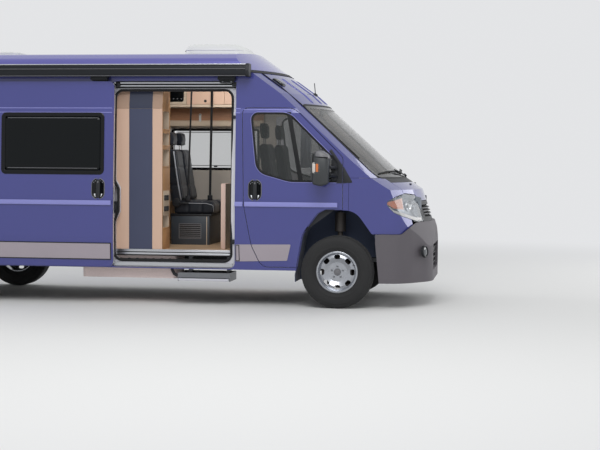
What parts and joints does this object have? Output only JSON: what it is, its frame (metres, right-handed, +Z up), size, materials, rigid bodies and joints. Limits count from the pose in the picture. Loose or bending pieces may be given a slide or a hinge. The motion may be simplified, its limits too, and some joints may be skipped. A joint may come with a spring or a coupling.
{
  "type": "camper van",
  "caption": "Long high-roof panel van converted to a camper, its side door slid open, with awning, roof unit, furniture, opening doors, steering and rolling wheels.",
  "frame": {"origin": "on the ground under the middle of the overall box", "axes": "+X forward, +Y to the vehicle's left, +Z up"},
  "size_m": [5.998, 2.508, 2.752],
  "materials": {
    "body_paint": "satin metallic",
    "black_plastic": "grained",
    "grey_cladding": "grained",
    "seal_rubber": "matte",
    "glass": "clear",
    "dark_acrylic": "polished",
    "lamp_lens": "clear",
    "awning_alloy": "powder coated",
    "rail_alloy": "satin",
    "white_plastic": "smooth",
    "chassis_steel": "dull",
    "engine_alloy": "cast",
    "tank_plastic": "moulded",
    "dash_plastic": "grained",
    "seat_leather": "grained",
    "cabinet_wood": "laminated",
    "bed_fabric": "woven",
    "tyre_rubber": "matte"
  },
  "bodies": {
    "body": {"awning_case": "awning_alloy", "bench_seat": "seat_leather", "body_windows": "dark_acrylic", "bulkhead": "black_plastic", "cab_header": "body_paint", "cab_seats": "seat_leather", "cabinets": "cabinet_wood", "dashboard": "dash_plastic", "door_rails": "rail_alloy", "engine": "engine_alloy", "exhaust": "chassis_steel", "floor_pan": "chassis_steel", "frame_rails": "chassis_steel", "front_bumper": "body_paint", "front_suspension": "chassis_steel", "front_wings": "body_paint", "grille": "black_plastic", "headlamps": "lamp_lens", "rear_axle": "chassis_steel", "rear_bed": "bed_fabric", "rear_bumper": "black_plastic", "rear_frame": "body_paint", "roof_cap": "body_paint", "roof_seal": "seal_rubber", "roof_unit": "white_plastic", "side_cladding": "grey_cladding", "side_panel_left": "body_paint", "side_panel_right": "body_paint", "sliding_door": "body_paint", "step_housing": "chassis_steel", "tail_lamps": "lamp_lens", "under_tanks": "tank_plastic", "wheel_liners": "black_plastic", "windscreen": "glass"},
    "front_door_left": {"front_door_left": "body_paint", "front_door_glass_left": "glass", "door_cladding_left": "grey_cladding", "door_mirror_left": "black_plastic"},
    "front_door_right": {"front_door_right": "body_paint", "front_door_glass_right": "glass", "door_cladding_right": "grey_cladding", "door_mirror_right": "black_plastic"},
    "rear_door_left": {"rear_door_left": "body_paint", "rear_door_glass_left": "glass"},
    "rear_door_right": {"rear_door_right": "body_paint", "rear_door_glass_right": "glass"},
    "bonnet": {"bonnet": "body_paint"},
    "entrance_step": {"entrance_step": "rail_alloy"},
    "knuckle_left": {"steering_knuckle_left": "chassis_steel"},
    "knuckle_right": {"steering_knuckle_right": "chassis_steel"},
    "wheel_front_left": {"rim_front_left": "rail_alloy", "tyre_front_left": "tyre_rubber"},
    "wheel_front_right": {"rim_front_right": "rail_alloy", "tyre_front_right": "tyre_rubber"},
    "wheel_rear_left": {"rim_rear_left": "rail_alloy", "tyre_rear_left": "tyre_rubber"},
    "wheel_rear_right": {"rim_rear_right": "rail_alloy", "tyre_rear_right": "tyre_rubber"}
  },
  "joints": [
    {"name": "steer_left", "type": "hinge", "parent": "body", "child": "knuckle_left", "pos_m": [2.051, 0.865, 0.215], "axis": [0, -0.1997, 0.9799], "range_deg": [-35, 35]},
    {"name": "wheel_front_left_spin", "type": "hinge", "parent": "knuckle_left", "child": "wheel_front_left", "pos_m": [2.051, 0.905, 0.372], "axis": [0, 1, 0], "continuous": true},
    {"name": "wheel_rear_left_spin", "type": "hinge", "parent": "body", "child": "wheel_rear_left", "pos_m": [-1.984, 0.895, 0.372], "axis": [0, 1, 0], "continuous": true},
    {"name": "front_door_left_hinge", "type": "hinge", "parent": "body", "child": "front_door_left", "pos_m": [2.101, 1.009, 1.2], "axis": [0, 0, -1], "range_deg": [0, 70]},
    {"name": "rear_door_left_hinge", "type": "hinge", "parent": "body", "child": "rear_door_left", "pos_m": [-2.974, 0.94, 1.4], "axis": [0, 0, -1], "range_deg": [0, 180]},
    {"name": "steer_right", "type": "hinge", "parent": "body", "child": "knuckle_right", "pos_m": [2.051, -0.865, 0.215], "axis": [0, 0.1997, 0.9799], "range_deg": [-35, 35]},
    {"name": "wheel_front_right_spin", "type": "hinge", "parent": "knuckle_right", "child": "wheel_front_right", "pos_m": [2.051, -0.905, 0.372], "axis": [0, 1, 0], "continuous": true},
    {"name": "wheel_rear_right_spin", "type": "hinge", "parent": "body", "child": "wheel_rear_right", "pos_m": [-1.984, -0.895, 0.372], "axis": [0, 1, 0], "continuous": true},
    {"name": "front_door_right_hinge", "type": "hinge", "parent": "body", "child": "front_door_right", "pos_m": [2.101, -1.009, 1.2], "axis": [0, 0, 1], "range_deg": [0, 70]},
    {"name": "rear_door_right_hinge", "type": "hinge", "parent": "body", "child": "rear_door_right", "pos_m": [-2.974, -0.94, 1.4], "axis": [0, 0, 1], "range_deg": [0, 180]},
    {"name": "bonnet_hinge", "type": "hinge", "parent": "body", "child": "bonnet", "pos_m": [2.575, 0, 1.29], "axis": [0, -1, 0], "range_deg": [0, 50]},
    {"name": "step_slide", "type": "slide", "parent": "body", "child": "entrance_step", "axis": [0, -1, 0], "range_m": [0, 0.22]}
  ],
  "couplings": [
    {"joint": "steer_right", "follows": "steer_left", "ratio": 1}
  ]
}
